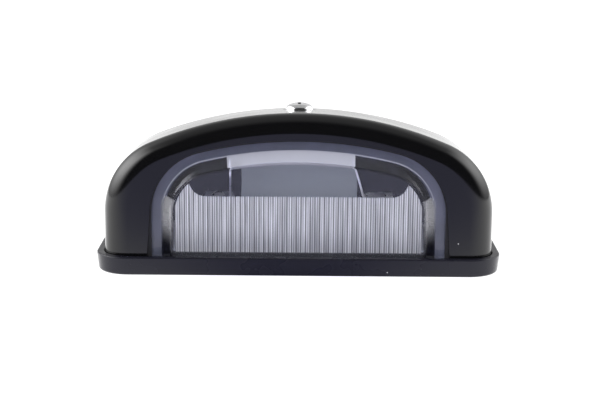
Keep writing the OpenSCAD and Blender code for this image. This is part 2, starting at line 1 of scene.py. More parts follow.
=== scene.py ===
"""Looks of a number plate lamp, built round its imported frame.

The hood, the fluted lens, the tray and the crown screw are remade finely from the sizes of
their solids. The other pieces keep their solids and get finishes.
"""

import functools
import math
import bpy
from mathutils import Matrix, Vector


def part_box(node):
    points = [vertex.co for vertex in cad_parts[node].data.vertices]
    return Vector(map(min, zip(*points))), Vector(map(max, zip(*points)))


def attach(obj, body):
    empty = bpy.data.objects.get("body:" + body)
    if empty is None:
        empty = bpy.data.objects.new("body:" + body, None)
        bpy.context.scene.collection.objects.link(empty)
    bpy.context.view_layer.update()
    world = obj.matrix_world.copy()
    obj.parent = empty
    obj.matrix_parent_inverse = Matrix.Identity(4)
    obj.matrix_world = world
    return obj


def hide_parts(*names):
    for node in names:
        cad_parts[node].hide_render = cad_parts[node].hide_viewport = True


bl_info = {
    "name": "Number plate lamp",
    "version": (1, 0, 0),
    "blender": (4, 5, 0),
    "location": "View3D > Sidebar > Plate lamp",
    "description": "Builds the pieces, finishes and studio of a number plate lamp",
    "category": "Object",
}

import bmesh
import bpy
from bpy.props import FloatProperty, FloatVectorProperty, IntProperty, PointerProperty
from mathutils import Matrix, Vector

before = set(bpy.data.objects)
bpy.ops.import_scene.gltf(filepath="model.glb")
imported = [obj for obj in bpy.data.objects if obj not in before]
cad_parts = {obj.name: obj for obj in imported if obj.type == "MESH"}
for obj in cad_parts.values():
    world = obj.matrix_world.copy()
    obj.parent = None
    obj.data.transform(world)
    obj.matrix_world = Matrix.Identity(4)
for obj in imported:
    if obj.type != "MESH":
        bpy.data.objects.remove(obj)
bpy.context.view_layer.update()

MM = 0.001
PHOTO_WIDTH = 600
BODY = "root"
BOUNCES = 16
PLASTIC_IOR = 1.49
COMMON_IOR = 1.5
DUST_GREY = (0.62, 0.62, 0.64)
NOISE_LOW, NOISE_HIGH = 0.35, 0.65
LEG_STEPS = 4
CREASE = math.radians(30)
SOFT_CREASE = math.radians(35)


def length(name, description, default):
    """A length that a user may change, given in millimetres."""
    return FloatProperty(name=name, description=description, default=default * MM, unit="LENGTH")


def angle(name, description, default):
    """An angle that a user may change, given in degrees."""
    return FloatProperty(name=name, description=description, default=math.radians(default),
                         unit="ROTATION")


def number(name, description, default):
    """A plain number that a user may change."""
    return FloatProperty(name=name, description=description, default=default)


def paint(name, description, *default):
    """A colour that a user may change."""
    return FloatVectorProperty(name=name, description=description, default=default,
                               subtype="COLOR", size=3)


def bend_steps():
    """Number of steps round each bend of a piece."""
    return IntProperty(name="Steps", description="Steps round each bend", default=24, min=4)


class HoodSizes(bpy.types.PropertyGroup):
    """Shape of the hood; its width, depth and height come from the frame"""

    spring: length("Springing", "Height where the straight legs turn into the arch", 17)
    crown_radius: length("Crown radius", "Radius of the arch over the crown", 107)
    crown_round: length("Crown rounding", "Rounding of the front edge at the crown", 5.5)
    inner_round: length("Inner rounding", "Rounding inside the front edge at the crown", 1.5)
    leg_round: length("Leg rounding", "Rounding of the front edge down the legs", 7)
    back_round: length("Back rounding", "Rounding of the back", 12)
    fall: angle("Fall", "Fall of the top towards the back", 6)
    wall: length("Wall", "Wall of the hood", 2.4)
    flare: length("Flare", "Flare of the opening's legs at their foot", 1.1)
    spot: length("Spot face", "Diameter of the seat cut for the screw", 9.3)
    steps: bend_steps()


class LensSizes(bpy.types.PropertyGroup):
    """Shape of the lens; its outline comes from the frame"""

    crown_radius: length("Crown radius", "Radius of the lens lines over the crown", 115)
    cover: length("Covered flange", "Part of the flange that the hood covers", 1.8)
    show: length("Seen flange", "Width of the flange that shows", 3.1)
    show_top: length("Extra over the crown", "Extra of that width over the crown", 0.2)
    flange: length("Flange", "Thickness of the flange", 2)
    slope: length("Slope", "Width of the slope round the raised field", 3)
    slope_top: length("Slope over the crown", "Width of that slope over the crown", 3.3)
    field: length("Field", "Thickness of the raised field", 1.6)
    edge: length("Edge", "Ease of the field's edge", 0.6)
    pitch: length("Flute pitch", "Spacing of the flutes", 1.32)
    bulge: number("Flute bulge", "Flute's round as a share of the pitch", 1.06)
    margin: length("Flute margin", "Distance of the flutes from the field's edge", 0.9)
    window_z: length("Window", "Height of the plain window's lower edge", 22.1)
    window_w: length("Window width", "Width of the plain window", 62)
    window_r: length("Window corners", "Radius of the window's lower corners", 4.7)
    haze_top: length("Haze", "Height of the hazy part of the legs' slopes", 21.5)
    flute_foot: length("Flute foot", "Height where the flutes and the haze begin", 6)
    # Painted shade: the black strip behind the lens's foot stands in for the shade there
    shade_strip_top: length("Shade strip top", "Top of the foam strip behind the lens's foot", 5.6)
    steps: bend_steps()


class TraySizes(bpy.types.PropertyGroup):
    """Shape of the tray; its outline comes from the frame"""

    lip: length("Lip", "Width of the lip's wall", 2.2)
    floor: length("Floor", "Thickness of the floor", 1.6)
    draft: angle("Draft", "Draft of the outer wall", 5)
    sole: length("Sole", "Rounding of the bottom edge", 0.8)
    ease: length("Ease", "Rounding of the lip", 0.45)
    front_corner: length("Front corners", "Plan radius of the front corners", 9.6)
    back_corner: length("Back corners", "Plan radius of the back corners", 14.6)


class ScrewSizes(bpy.types.PropertyGroup):
    """Shape of the crown screw; its diameter and place come from the frame"""

    head: length("Head", "Height of the head", 2)
    thread: length("Thread", "Diameter of the thread", 4)
    recess: length("Recess", "Length of the cross recess", 4.4)
    recess_depth: length("Recess depth", "Depth of the cross recess", 1.3)


class Finishes(bpy.types.PropertyGroup):
    """Colours of the finishes"""

    hood: paint("Hood", "Black of the hood", 0.0022, 0.0022, 0.0026)
    rubber: paint("Rubber", "Black of the tray", 0.008, 0.008, 0.013)
    lens: paint("Lens", "Tint of the clear lens", 0.93, 0.94, 1.0)
    # Painted light: these two tones make the reflector's sheet paler towards its top
    reflector: paint("Reflector", "Top of the satin sheet behind the lens", 1.0, 0.97, 0.86)
    reflector_low: paint("Reflector, low", "Foot of the satin sheet behind the lens",
                         0.60, 0.64, 0.66)
    # The ribs' colour is also the brightest tone of the flutes' painted highlights
    ribs: paint("Ribs", "Haze of the moulded ribs and legs of the lens", 0.97, 0.97, 1.0)
    # Painted shade: the slope's tint is darker and bluer than the lens's own tint
    slope: paint("Slope", "Tint of the slope between the field and the flange", 0.80, 0.81, 0.93)


class StageSizes(bpy.types.PropertyGroup):
    """Camera, floor and lights"""

    camera: FloatVectorProperty(
        name="Camera", description="Place of the camera", size=3, subtype="TRANSLATION",
        default=(0.381 * MM, -402.87 * MM, 105.30 * MM))
    pitch: angle("Pitch", "Downward tilt of the camera", 12.5)
    roll: angle("Roll", "Roll of the camera", 0.45)
    focal: number("Focal length", "In pixels of the photo's width", 1378)
    floor: length("Floor", "Half size of the floor", 3000)
    left_light: number("Left light", "Radiance of the soft light at the left", 7.4)
    right_light: number("Right light", "Radiance of the soft light at the right", 4.2)
    ceiling: number("Ceiling", "Radiance overhead", 0.5)
    backdrop: number("Backdrop", "Extra radiance of the backdrop", 0.4)
    floor_sides: number("Bright sides", "Extra light of the floor beside the lamp", 1.9)
    fill: number("Fill", "Soft light from the front on matt surfaces", 2.95)
    floor_front: paint("Floor in front", "Tint of the floor in front of the lamp", 0.31, 0.31, 0.46)
    floor_back: paint("Floor behind", "Tint of the floor beside and behind the lamp",
                      0.34, 0.34, 0.34)


def sizes(name):
    """The property group of that name in the scene."""
    return getattr(bpy.context.scene, name)


def colour(name):
    """One of the lamp's colours."""
    return tuple(getattr(sizes("lamp_finishes"), name))


# Node trees

def feed(tree, socket, value):
    """Links a socket to another one or sets its value; a colour gets its fourth number."""
    if isinstance(value, bpy.types.NodeSocket):
        tree.links.new(value, socket)
    elif socket.type == "RGBA":
        socket.default_value = (*value[:3], 1.0)
    else:
        socket.default_value = value


def new_node(tree, kind, values=None, **settings):
    """Adds a node, sets its properties and then its sockets by name or number."""
    made = tree.nodes.new(kind)
    for key, value in settings.items():
        setattr(made, key, value)
    for key, value in (values or {}).items():
        feed(tree, made.inputs[key], value)
    return made


def math_node(tree, operation, *values):
    """Adds a Math node, or a row of them for more than two values, and returns the result."""
    made = new_node(tree, "ShaderNodeMath", dict(enumerate(values[:2])), operation=operation)
    rest = values[2:]
    return math_node(tree, operation, made.outputs[0], *rest) if rest else made.outputs[0]


def ramp(tree, value, low, high, first=0.0, last=1.0, kind="SMOOTHSTEP"):
    """Change from first to last while the value goes from low to high, smooth if not told."""
    values = {"Value": value, "From Min": low, "From Max": high, "To Min": first, "To Max": last}
    return new_node(tree, "ShaderNodeMapRange", values, interpolation_type=kind).outputs[0]


def split(tree, vector):
    """X, Y and Z of a vector."""
    return new_node(tree, "ShaderNodeSeparateXYZ", {"Vector": vector}).outputs


def join(tree, **axes):
    """A vector from its X, Y and Z."""
    return new_node(tree, "ShaderNodeCombineXYZ", axes).outputs[0]


def mix_colour(tree, share, first, second):
    """Adds a colour mix and returns its result."""
    made = new_node(tree, "ShaderNodeMix", data_type="RGBA")
    colours = [socket for socket in made.inputs if socket.type == "RGBA"]
    for socket, value in zip((made.inputs["Factor"], *colours), (share, first, second)):
        feed(tree, socket, value)
    return next(socket for socket in made.outputs if socket.type == "RGBA")


def new_group(name, outputs, **inputs):
    """A shader node group over a place: its tree, the inputs given to it and its outputs."""
    group = bpy.data.node_groups.new(name, "ShaderNodeTree")
    group.interface.new_socket("Place", in_out="INPUT", socket_type="NodeSocketVector")
    for label, value in inputs.items():
        socket = group.interface.new_socket(label, in_out="INPUT", socket_type="NodeSocketFloat")
        socket.default_value = value
    for label in outputs:
        group.interface.new_socket(label, in_out="OUTPUT", socket_type="NodeSocketFloat")
    return (group, group.nodes.new("NodeGroupInput").outputs,
            group.nodes.new("NodeGroupOutput").inputs)


def place_group(tree, name, build, **values):
    """Places a node group, built once, with its own values, and returns its outputs."""
    group = bpy.data.node_groups.get(name) or build(name)
    return new_node(tree, "ShaderNodeGroup", values, node_tree=group).outputs


def dust_group(name):
    """Sparse pale specks of dust: a mask over Object coordinates."""
    group, given, out = new_group(name, ("Mask",), Spacing=5 * MM, Size=0.22 * MM, Share=0.3)
    scale = math_node(group, "DIVIDE", 1.0, given["Spacing"])
    cells = new_node(group, "ShaderNodeTexVoronoi",
                     {"Vector": given["Place"], "Scale": scale, "Randomness": 1.0},
                     feature="F1", distance="EUCLIDEAN").outputs
    radius = math_node(group, "DIVIDE", given["Size"], given["Spacing"])
    inside = math_node(group, "SUBTRACT", radius, cells["Distance"])
    inside = math_node(group, "DIVIDE", inside, radius)
    speck = new_node(group, "ShaderNodeClamp", {"Value": inside})
    chance = new_node(group, "ShaderNodeSeparateColor", {"Color": cells["Color"]}).outputs[0]
    picked = math_node(group, "LESS_THAN", chance, given["Share"])
    feed(group, out["Mask"], math_node(group, "MULTIPLY", speck.outputs[0], picked))
    return group


def ripple_group(name):
    """Slow unevenness of a moulded or rolled surface: a height, a mask and a roughness."""
    group, given, out = new_group(name, ("Height", "Mask", "Roughness"), Scale=120.0,
                                  Detail=2.0, Smooth=0.2, Dull=0.3)
    noise = new_node(group, "ShaderNodeTexNoise", {
        "Vector": given["Place"], "Scale": given["Scale"], "Detail": given["Detail"],
        "Roughness": 0.5}).outputs[0]
    mask = ramp(group, noise, NOISE_LOW, NOISE_HIGH, kind="LINEAR")
    feed(group, out["Height"], noise)
    feed(group, out["Mask"], mask)
    feed(group, out["Roughness"], ramp(group, mask, 0.0, 1.0, given["Smooth"], given["Dull"],
                                       "LINEAR"))
    return group


def fade_group(name):
    """Smooth change from 0 to 1 between two heights: a mask over Object coordinates."""
    group, given, out = new_group(name, ("Mask",), Foot=0.0, Top=1.0)
    height = split(group, given["Place"])["Z"]
    feed(group, out["Mask"], ramp(group, height, given["Foot"], given["Top"]))
    return group


def dust(tree, place, share):
    """Mask of the specks of dust; share is the part of the cells that holds one."""
    return place_group(tree, "Dust specks", dust_group, Place=place, Share=share)["Mask"]


def ripple(tree, place, scale, smooth=0.2, dull=0.3, detail=2.0):
    """Outputs of the surface ripple, with its scale and the ends of its roughness."""
    return place_group(tree, "Surface ripple", ripple_group, Place=place, Scale=scale,
                       Detail=detail, Smooth=smooth, Dull=dull)


def fade(tree, place, foot, top):
    """Mask that grows from the foot to the top of a part of a surface."""
    return place_group(tree, "Height fade", fade_group, Place=place, Foot=foot, Top=top)["Mask"]


def new_material(name):
    """An empty node material: its tree, shader, output and Object coordinates."""
    material = bpy.data.materials.new(name)
    material.use_nodes = True
    tree = material.node_tree
    tree.nodes.clear()
    shader = tree.nodes.new("ShaderNodeBsdfPrincipled")
    output = tree.nodes.new("ShaderNodeOutputMaterial")
    feed(tree, output.inputs["Surface"], shader.outputs[0])
    place = tree.nodes.new("ShaderNodeTexCoord").outputs["Object"]
    return material, tree, shader, output, place


def set_shader(tree, shader, **values):
    """Sets the shader's sockets by name, with a value or a link; _ stands for a space."""
    for key, value in values.items():
        feed(tree, shader.inputs[key.replace("_", " ")], value)


def surface_finish(name, tone, roughness, metallic=0.0, specks=0.0, scale=120.0, height=0.0,
                   spread=0.04, second=None, ior=COMMON_IOR):
    """A finish with slow unevenness, a second tone and specks of dust, for opaque pieces."""
    material, tree, shader, _, place = new_material(name)
    uneven = ripple(tree, place, scale, roughness - spread, roughness + spread)
    worn = second or tuple(0.9 * c for c in tone)
    tone = mix_colour(tree, uneven["Mask"], tone, worn)
    rough = uneven["Roughness"]
    if specks:
        mask = dust(tree, place, specks)
        tone = mix_colour(tree, mask, tone, DUST_GREY)
        rough = math_node(tree, "MAXIMUM", rough, mask)
    set_shader(tree, shader, Base_Color=tone, Roughness=rough, Metallic=metallic, IOR=ior)
    if height:
        bump = new_node(tree, "ShaderNodeBump",
                        {"Height": uneven["Height"], "Distance": height, "Strength": 1.0})
        feed(tree, shader.inputs["Normal"], bump.outputs[0])
    return material


def gloss_black():
    """Gloss black of the hood, with a little dust."""
    return surface_finish("hood gloss", colour("hood"), 0.13, specks=0.35, scale=60.0,
                          height=0.02 * MM, spread=0.02)


def tray_rubber():
    """Satin black rubber of the tray."""
    return surface_finish("tray rubber", colour("rubber"), 0.28, specks=0.5, scale=120.0,
                          height=0.0015 * MM, second=(0.009, 0.009, 0.0145), ior=1.36)


def reflector_sheet():
    """Satin sheet of the reflector, with painted light: paler towards its top edge."""
    low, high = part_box("reflector")
    material, tree, shader, _, place = new_material("reflector sheet")
    # Painted light: the tone fades from the foot colour up to the paler top colour over the sheet's
    # top three tenths
    foot = low.z + 0.7 * (high.z - low.z)
    tone = mix_colour(tree, fade(tree, place, foot, high.z), colour("reflector_low"),
                      colour("reflector"))
    rough = ripple(tree, place, 90.0, 0.13, 0.18)["Roughness"]
    set_shader(tree, shader, Base_Color=tone, Roughness=rough, Metallic=0.5)
    return material


def tongue_metal():
    """Plated strip of the left contact, bright at the tip of its tongue, with painted shade below
    it.
    """
    # Painted shade: the strip is dark below its tongue's tip and has the plating's tone only at the
    # tip
    shade_tone, plating = (0.22, 0.22, 0.25), (0.97, 0.97, 0.95)
    material, tree, shader, _, place = new_material("contact tongue")
    tone = mix_colour(tree, fade(tree, place, 26 * MM, 27.5 * MM), shade_tone, plating)
    rough = ripple(tree, place, 300.0, 0.26, 0.34)["Roughness"]
    set_shader(tree, shader, Base_Color=tone, Roughness=rough, Metallic=0.6)
    return material


# Settings of the finishes that need nothing of their own
PLAIN_FINISHES = {
    "seal rubber": {"tone": (0.02, 0.02, 0.024), "roughness": 0.55, "scale": 900.0,
                    "height": 0.01 * MM},
    "base plastic": {"tone": (0.68, 0.71, 0.77), "second": (0.63, 0.65, 0.71), "roughness": 0.45,
                     "scale": 1500.0, "height": 0.01 * MM},
    "contact strip": {"tone": (0.95, 0.95, 0.90), "roughness": 0.3, "metallic": 0.8,
                      "scale": 300.0},
    "rivet metal": {"tone": (0.85, 0.84, 0.83), "roughness": 0.28, "metallic": 1.0,
                    "scale": 500.0},
    "brass": {"tone": (0.78, 0.60, 0.30), "second": (0.70, 0.52, 0.25), "roughness": 0.25,
              "metallic": 1.0, "scale": 400.0},
    "plated steel": {"tone": (0.62, 0.63, 0.66), "roughness": 0.3, "metallic": 1.0,
                     "scale": 600.0},
    "cap metal": {"tone": (0.66, 0.64, 0.60), "roughness": 0.2, "metallic": 1.0, "scale": 500.0},
    "filament wire": {"tone": (0.30, 0.30, 0.32), "roughness": 0.4, "metallic": 1.0,
                      "scale": 2000.0},
    "screw chrome": {"tone": (0.98, 0.98, 0.98), "second": (0.86, 0.86, 0.88),
                     "roughness": 0.15, "metallic": 1.0, "scale": 900.0},
}


@functools.cache
def plain_finish(name):
    """The finish of that name from the table, made once."""
    return surface_finish(name, **PLAIN_FINISHES[name])


def pass_light(tree, shader, output, tint):
    """Lets light pass the plastic or glass on its way to what lies behind."""
    through = new_node(tree, "ShaderNodeBsdfTransparent", {"Color": tint})
    rays = tree.nodes.new("ShaderNodeLightPath")
    mixed = new_node(tree, "ShaderNodeMixShader", {
        0: rays.outputs["Is Shadow Ray"], 1: shader.outputs[0], 2: through.outputs[0]})
    feed(tree, output.inputs["Surface"], mixed.outputs[0])


def clear_material(name, tint, ior, clear=1.0):
    """Clear plastic or glass, faintly uneven, that lets light through to what it covers."""
    material, tree, shader, output, place = new_material(name)
    rough = ripple(tree, place, 150.0, 0.0, 0.02)["Roughness"]
    set_shader(tree, shader, Base_Color=tint, Roughness=rough, IOR=ior, Transmission_Weight=clear)
    pass_light(tree, shader, output, tint)
    return material


def bulb_glass():
    """Thin clear glass of the bulb."""
    return clear_material("bulb glass", (0.97, 0.98, 0.98), COMMON_IOR)


# Mesh helpers

def new_piece(name, points, faces):
    """An object at the origin whose faces point outwards."""
    mesh = bpy.data.meshes.new(name)
    mesh.from_pydata([tuple(p) for p in points], [], faces)
    piece = bpy.data.objects.new(name, mesh)
    bpy.context.scene.collection.objects.link(piece)
    work = bmesh.new()
    work.from_mesh(mesh)
    bmesh.ops.remove_doubles(work, verts=work.verts, dist=0.0005 * MM)
    bmesh.ops.recalc_face_normals(work, faces=work.faces)
    work.to_mesh(mesh)
    work.free()
    return piece


def smooth_piece(piece, crease):
    """Smooth shading with creases over that angle, flat faces kept flat."""
    piece.data.shade_smooth()
    piece.data.set_sharp_from_angle(angle=crease)
    weighted = piece.modifiers.new("Flat faces", "WEIGHTED_NORMAL")
    weighted.keep_sharp = True
    weighted.weight = 100
    apply_modifiers(piece)


def apply_modifiers(piece):
    """Replaces the piece's mesh by its evaluated one and drops the modifiers."""
    depsgraph = bpy.context.evaluated_depsgraph_get()
    mesh = bpy.data.meshes.new_from_object(piece.evaluated_get(depsgraph))
    piece.modifiers.clear()
    old = piece.data
    piece.data = mesh
    bpy.data.meshes.remove(old)


def cut_piece(piece, cutter):
    """Cuts one closed piece out of another and removes the cutter."""
    change = piece.modifiers.new("Cut", "BOOLEAN")
    change.operation = "DIFFERENCE"
    change.solver = "EXACT"
    change.object = cutter
    apply_modifiers(piece)
    bpy.data.objects.remove(cutter)


def quarter(steps):
    """Angles of a quarter turn, both ends with it."""
    return [math.pi / 2 * i / steps for i in range(steps + 1)]


def rectangle(left, near, right, far, z):
    """Four corners of a level rectangle."""
    return [(left, near, z), (right, near, z), (right, far, z), (left, far, z)]


def circle(centre, radius, z, sides):
    """Points of a level circle."""
    turns = [math.tau * i / sides for i in range(sides)]
    return [(centre[0] + radius * math.cos(a), centre[1] + radius * math.sin(a), z) for a in turns]


def middle(low, high):
    """Centre of a box in plan."""
    return (low.x + high.x) / 2, (low.y + high.y) / 2


def rounding(steps):
    """Pairs of 1 - sine and 1 - cosine along a quarter turn, for a rounded edge."""
    return [(1 - math.sin(a), 1 - math.cos(a)) for a in quarter(steps)]


def stack(name, rings):
    """A closed piece of rings with as many points each, closed flat at both ends."""
    count = len(rings[0])
    points = [point for ring in rings for point in ring]
    faces = [(i * count + j, i * count + (j + 1) % count, (i + 1) * count + (j + 1) % count,
              (i + 1) * count + j) for i in range(len(rings) - 1) for j in range(count)]
    faces += [tuple(range(count)), tuple(range(len(points) - count, len(points)))]
    return new_piece(name, points, faces)


def rod(name, centre, radius, low, high, sides=64):
    """An upright closed cylinder."""
    return stack(name, [circle(centre, radius, z, sides) for z in (low, high)])


def lathe(name, centre, profile, sides=64):
    """A closed solid turned round the upright line at centre from [radius, height] points."""
    points = []
    faces = []
    rings = []
    for radius, height in profile:
        start = len(points)
        if radius:
            points += circle(centre, radius, height, sides)
            rings.append(list(range(start, start + sides)))
        else:
            points.append((*centre, height))
            rings.append([start] * sides)
    for low, high in zip(rings, rings[1:]):
        for i in range(sides):
            j = (i + 1) % sides
            corners = [low[i], low[j], high[j], high[i]]
            face = [c for k, c in enumerate(corners) if c != corners[k - 1]]
            if len(face) > 2:
                faces.append(face)
    return new_piece(name, points, faces)


def give(piece, node, slot, *materials):
    """Dresses a piece that stands for a solid; its faces keep their material's number."""
    numbers = [face.material_index for face in piece.data.polygons]
    piece.data.materials.clear()
    for material in materials:
        piece.data.materials.append(material)
    for face, number in zip(piece.data.polygons, numbers):
        face.material_index = min(number, len(materials) - 1)
    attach(piece, BODY)
    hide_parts(node)


# The arch that the hood and the lens share

def arch_bend(half, top, radius, spring):
    """Radius of an arch's shoulders, and the angle of its crown on each side."""
    rise = top - spring
    shoulder = (2 * radius * rise - rise * rise - half * half) / (2 * (radius - half))
    return shoulder, math.atan2(half - shoulder, radius - rise)


def arch(half, top, radius, foot, spring, steps):
    """Three-centred arch as [x, z] points from the left foot to the right."""
    shoulder, turn = arch_bend(half, top, radius, spring)
    line = [(-half, foot + (spring - foot) * i / LEG_STEPS) for i in range(LEG_STEPS)]
    for i in range(steps + 1):
        a = math.pi - (math.pi / 2 - turn) * i / steps
        line.append((-(half - shoulder) + shoulder * math.cos(a), spring + shoulder * math.sin(a)))
    for i in range(1, 2 * steps):
        a = math.pi / 2 + turn - turn * i / steps
        line.append((radius * math.cos(a), top - radius + radius * math.sin(a)))
    right = [(-x, z) for x, z in line[:LEG_STEPS + steps + 1]]
    return line + right[::-1]


def arch_height(half, top, radius, spring, x):
    """Height of an arch at x."""
    shoulder, turn = arch_bend(half, top, radius, spring)
    if abs(x) <= radius * math.sin(turn):
        return top - radius + math.sqrt(radius * radius - x * x)
    across = abs(x) - (half - shoulder)
    return spring + math.sqrt(max(0.0, shoulder * shoulder - across * across))


def shell(name, outer, inner, front_wall, back_wall):
    """Solid between two stacks of rings that stand on the foot; without a wall, that end is
    open and its edge is closed."""
    count = len(outer[0])
    points = [p for ring in outer for p in ring] + [p for ring in inner for p in ring]
    shift = len(outer) * count
    faces = []
    for i in range(len(outer) - 1):
        for j in range(count - 1):
            a = i * count + j
            faces.append((a, a + 1, a + count + 1, a + count))
            faces.append((shift + a, shift + a + count, shift + a + count + 1, shift + a + 1))
        for j in (0, count - 1):
            a = i * count + j
            faces.append((a, a + count, shift + a + count, shift + a))
    for wall, start in ((front_wall, 0), (back_wall, (len(outer) - 1) * count)):
        if wall:
            faces.append(tuple(range(start, start + count)))
            faces.append(tuple(range(shift + start, shift + start + count)))
            end = start + count - 1
            faces.append((start, end, shift + end, shift + start))
        else:
            for j in range(start, start + count - 1):
                faces.append((j, j + 1, shift + j + 1, shift + j))
    return new_piece(name, points, faces)


class LAMP_OT_hood(bpy.types.Operator):
    """Build the gloss black hood as a loft of arches"""

    bl_idname = "lamp.hood"
    bl_label = "Hood"

    def execute(self, context):
        s = sizes("lamp_hood")
        lens = sizes("lamp_lens")
        low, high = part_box("hood")
        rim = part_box("lens")[1]
        open_half, open_top = rim.x - lens.cover, rim.z - lens.cover

        def rise(y):
            """Height of the arch at y as a share of its height at the front."""
            drop = math.tan(s.fall) * max(0.0, y - low.y - s.crown_round)
            return 1 - drop / (high.z - s.spring)

        def ring(half, top, radius, y, falls=True):
            """Arch at y, lower towards the back where it falls."""
            factor = rise(y) if falls else 1.0
            return [(x, y, s.spring + (z - s.spring) * factor if z > s.spring else z)
                    for x, z in arch(half, top, radius, low.z, s.spring, s.steps)]

        def flared(point):
            """A point of the opening, moved outwards below the springing."""
            x, y, z = point
            flare = s.flare * (s.spring - z) / (s.spring - low.z)
            return (x + math.copysign(max(0.0, flare), x), y, z)

        def skin(t, crown):
            """Rings from the opening's edge to the back wall, set in by t."""
            half, top = high.x - t, high.z - t
            radius, leg, back = s.crown_radius - t, s.leg_round - t, s.back_round - t
            opening = ring(open_half, open_top, lens.crown_radius, low.y + t, falls=False)
            rings = [[flared(point) for point in opening]]
            for cut, on in rounding(s.steps):
                rings.append(ring(half - leg * cut, top - crown * cut, radius - crown * cut,
                                  low.y + t + crown * on))
            for on, cut in rounding(s.steps):
                rings.append(ring(half - back * cut, top - back * cut, radius - back * cut,
                                  high.y - t - back * on))
            return rings

        hood = shell("hood_shell", skin(0.0, s.crown_round), skin(s.wall, s.inner_round),
                     front_wall=False, back_wall=True)
        screw = sizes("lamp_screw")
        screw_low, screw_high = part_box("hood_screw")
        centre = middle(screw_low, screw_high)
        seat = screw_high.z - screw.head
        above, below, play = seat + 5 * MM, seat - 8 * MM, 0.25 * MM
        cut_piece(hood, rod("spot", centre, s.spot / 2, seat, above))
        cut_piece(hood, rod("hole", centre, screw.thread / 2 + play, below, above))
        smooth_piece(hood, CREASE)
        give(hood, "hood", "hood_plastic", gloss_black())
        return {"FINISHED"}


def flute_tree():
    """Geometry Nodes: upright flutes on the field's back, kept inside the zone and joined with
    the lens."""
    tree = bpy.data.node_groups.new("Upright flutes", "GeometryNodeTree")
    number_sizes = ("Pitch", "Radius", "Sink", "Back", "Foot", "Height")
    kinds = {"Geometry": "Geometry", "Zone": "Object", "Count": "Int", "Steps": "Int",
             **dict.fromkeys(number_sizes, "Float"), "Material": "Material"}
    for label, kind in kinds.items():
        tree.interface.new_socket(label, in_out="INPUT", socket_type="NodeSocket" + kind)
    tree.interface.new_socket("Geometry", in_out="OUTPUT", socket_type="NodeSocketGeometry")
    given = tree.nodes.new("NodeGroupInput").outputs
    result = tree.nodes.new("NodeGroupOutput")

    width = math_node(tree, "MULTIPLY", given["Count"], given["Pitch"])
    strips = math_node(tree, "MULTIPLY", given["Count"], given["Steps"])
    bar = new_node(tree, "GeometryNodeMeshCube", {
        "Size": join(tree, X=width, Y=given["Sink"], Z=given["Height"]),
        "Vertices X": math_node(tree, "ADD", strips, 1.0)})
    half_sink = math_node(tree, "DIVIDE", given["Sink"], 2.0)
    half_height = math_node(tree, "DIVIDE", given["Height"], 2.0)
    centre = join(tree, Y=math_node(tree, "SUBTRACT", given["Back"], half_sink),
                  Z=math_node(tree, "ADD", given["Foot"], half_height))
    where = split(tree, tree.nodes.new("GeometryNodeInputPosition").outputs[0])
    turn = math_node(tree, "DIVIDE", where["X"], given["Pitch"])
    off = math_node(tree, "SUBTRACT", turn, math_node(tree, "ROUND", turn))
    off = math_node(tree, "MULTIPLY", off, given["Pitch"])
    round_square = math_node(tree, "MULTIPLY", given["Radius"], given["Radius"])
    room = math_node(tree, "SUBTRACT", round_square, math_node(tree, "MULTIPLY", off, off))
    bulge = math_node(tree, "SQRT", math_node(tree, "MAXIMUM", 0.0, room))
    front = math_node(tree, "GREATER_THAN", where["Y"], 0.0)
    lift = join(tree, Y=bulge)
    flutes = new_node(tree, "GeometryNodeSetPosition",
                      {"Geometry": bar.outputs["Mesh"], "Selection": front, "Offset": lift})
    placed = new_node(tree, "GeometryNodeTransform",
                      {"Geometry": flutes.outputs[0], "Translation": centre})
    zone = new_node(tree, "GeometryNodeObjectInfo", {"Object": given["Zone"]})
    kept = new_node(tree, "GeometryNodeMeshBoolean", operation="INTERSECT", solver="EXACT")
    tree.links.new(placed.outputs[0], kept.inputs[1])
    tree.links.new(zone.outputs["Geometry"], kept.inputs[1])
    joined = new_node(tree, "GeometryNodeMeshBoolean", operation="UNION", solver="EXACT")
    tree.links.new(given["Geometry"], joined.inputs[1])
    tree.links.new(kept.outputs[0], joined.inputs[1])
    real = new_node(tree, "GeometryNodeRealizeInstances", {"Geometry": joined.outputs[0]})
    done = new_node(tree, "GeometryNodeSetMaterial",
                    {"Geometry": real.outputs[0], "Material": given["Material"]})
    tree.links.new(done.outputs[0], result.inputs[0])
    return tree


def run_tree(piece, tree, values):
    """Runs a Geometry Nodes tree on a piece and keeps the result as a plain mesh."""
    change = piece.modifiers.new("Nodes", "NODES")
    change.node_group = tree
    for item in tree.interface.items_tree:
        if item.item_type == "SOCKET" and item.in_out == "INPUT" and item.name in values:
            change[item.identifier] = values[item.name]
    apply_modifiers(piece)


def frosted_flange():
    """Matt back of the lens's flange, which catches the light that gets into the lens."""
    material, tree, shader, _, place = new_material("lens frosted")
    mask = ripple(tree, place, 200.0)["Mask"]
    tone = mix_colour(tree, mask, (0.165, 0.175, 0.228), (0.182, 0.192, 0.258))
    set_shader(tree, shader, Base_Color=tone, Roughness=0.6, IOR=1.3)
    return material


def hazy_plastic(name, clear, ior, foot=None):
    """Plastic of the lens where it catches the light: part clear, part white, with painted shade at
    its foot where the heights of a foot are given."""
    dark = (0.03, 0.03, 0.045)
    material, tree, shader, output, place = new_material(name)
    tone = colour("slope")
    # Painted shade: the tone darkens from the ribs' colour down to dark at the foot
    if foot:
        tone = mix_colour(tree, fade(tree, place, *foot), dark, colour("ribs"))
    rough = ripple(tree, place, 260.0, 0.02, 0.10)["Roughness"]
    set_shader(tree, shader, Base_Color=tone, Roughness=rough, IOR=ior, Transmission_Weight=clear)
    pass_light(tree, shader, output, (0.85, 0.85, 0.88))
    return material


